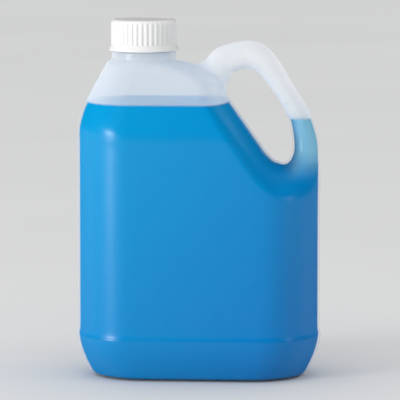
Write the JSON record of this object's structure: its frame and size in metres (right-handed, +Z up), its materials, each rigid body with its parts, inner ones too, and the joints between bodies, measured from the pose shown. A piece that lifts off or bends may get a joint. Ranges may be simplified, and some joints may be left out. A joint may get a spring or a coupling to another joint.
{
  "type": "all-purpose cleaner bottle",
  "caption": "Blow-moulded jug of liquid cleaner with a hollow through handle, an off-centre threaded neck and a ribbed screw cap.",
  "frame": {"origin": "centre of the jug's outline at the plane it stands on", "axes": "+Z up, +X from the neck towards the handle, -Y out of the face that the picture shows"},
  "size_m": [0.1534, 0.09, 0.2236],
  "materials": {
    "bottle_plastic": "translucent natural polyethylene, satin",
    "cleaner_liquid": "clear blue liquid",
    "liner_foam": "closed-cell foam, matte",
    "cap_plastic": "moulded polypropylene, semi-gloss"
  },
  "bodies": {
    "bottle": {"bottle": "bottle_plastic", "cleaner": "cleaner_liquid"},
    "liner": {"cap_liner": "liner_foam"},
    "cap": {"cap": "cap_plastic"}
  },
  "joints": [
    {"name": "cap_lift", "type": "slide", "parent": "bottle", "child": "liner", "axis": [0, 0, 1], "range_m": [0, 0.02206]},
    {"name": "cap_turn", "type": "hinge", "parent": "liner", "child": "cap", "pos_m": [-0.0344, 0, 0.215], "axis": [0, 0, 1], "range_deg": [0, 1890]}
  ],
  "couplings": [
    {"joint": "cap_lift", "follows": "cap_turn", "m_per_rad": 0.00066845}
  ]
}
